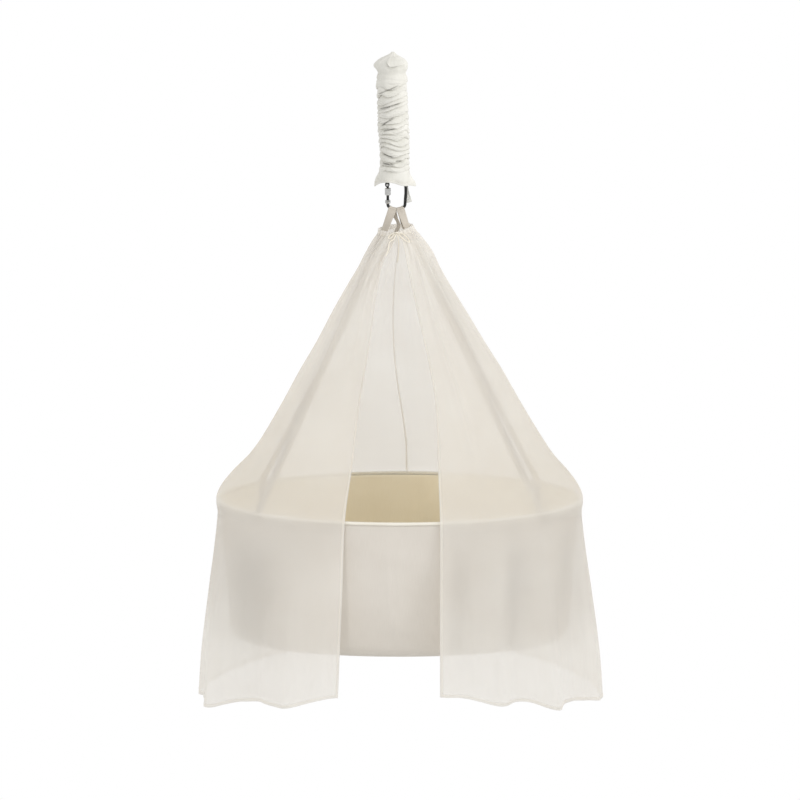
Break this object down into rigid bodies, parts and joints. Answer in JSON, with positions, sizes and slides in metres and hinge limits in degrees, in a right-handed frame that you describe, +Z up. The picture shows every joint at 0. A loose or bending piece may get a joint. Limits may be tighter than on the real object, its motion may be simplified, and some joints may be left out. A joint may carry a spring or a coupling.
{
  "type": "crib canopy with hanging cradle",
  "caption": "Sheer crib canopy with an open front, gathered at a drawn neck and falling over an oval hanging cradle, hung by webbing, a screw-gate carabiner and a ruched spring sleeve",
  "frame": {"origin": "the top tuft of the spring sleeve, where the whole piece is hung", "axes": "+Z up, -Y towards the open front of the canopy, +X to the right when looking at the front"},
  "size_m": [1.1018, 0.658, 1.7725],
  "materials": {
    "sleeve_cotton": "ruched cotton",
    "veil": "sheer plain-woven cotton voile",
    "cradle_cotton": "plain-woven cotton",
    "tan_lining": "plain-woven tan cotton",
    "webbing": "flat cotton webbing",
    "drawstring": "round cotton cord",
    "tag_ribbon": "plain blank ribbon",
    "black_steel": "black coated steel",
    "bright_steel": "bright zinc-plated steel"
  },
  "bodies": {
    "hanging_set": {"spring_sleeve": "sleeve_cotton", "blank_tag": "tag_ribbon", "canopy_cloth": "veil", "cradle_binding": "veil", "cradle_wall": "cradle_cotton", "cradle_lining": "tan_lining", "strap_left": "webbing", "strap_right": "webbing", "rim_tab_front_left": "webbing", "rim_tab_front_right": "webbing", "rim_tab_back_left": "webbing", "rim_tab_back_right": "webbing", "drawstring_knot": "drawstring", "drawstring_loop_left": "drawstring", "drawstring_loop_right": "drawstring", "drawstring_tail_left": "drawstring", "drawstring_tail_right": "drawstring", "carabiner_frame": "black_steel", "carabiner_fork": "black_steel", "carabiner_rivet": "bright_steel", "carabiner_nose": "bright_steel"},
    "gate": {"carabiner_gate": "black_steel"},
    "nut": {"carabiner_nut": "bright_steel"}
  },
  "joints": [
    {"name": "gate_hinge", "type": "hinge", "parent": "hanging_set", "child": "gate", "pos_m": [-0.0152, 0, -0.359], "axis": [0, -1, 0], "range_deg": [0, 28], "stiffness_Nm_per_rad": 0.05, "springref_deg": -11.46},
    {"name": "nut_slide", "type": "slide", "parent": "gate", "child": "nut", "axis": [0, 0, -1], "range_m": [0, 0.0122]}
  ]
}
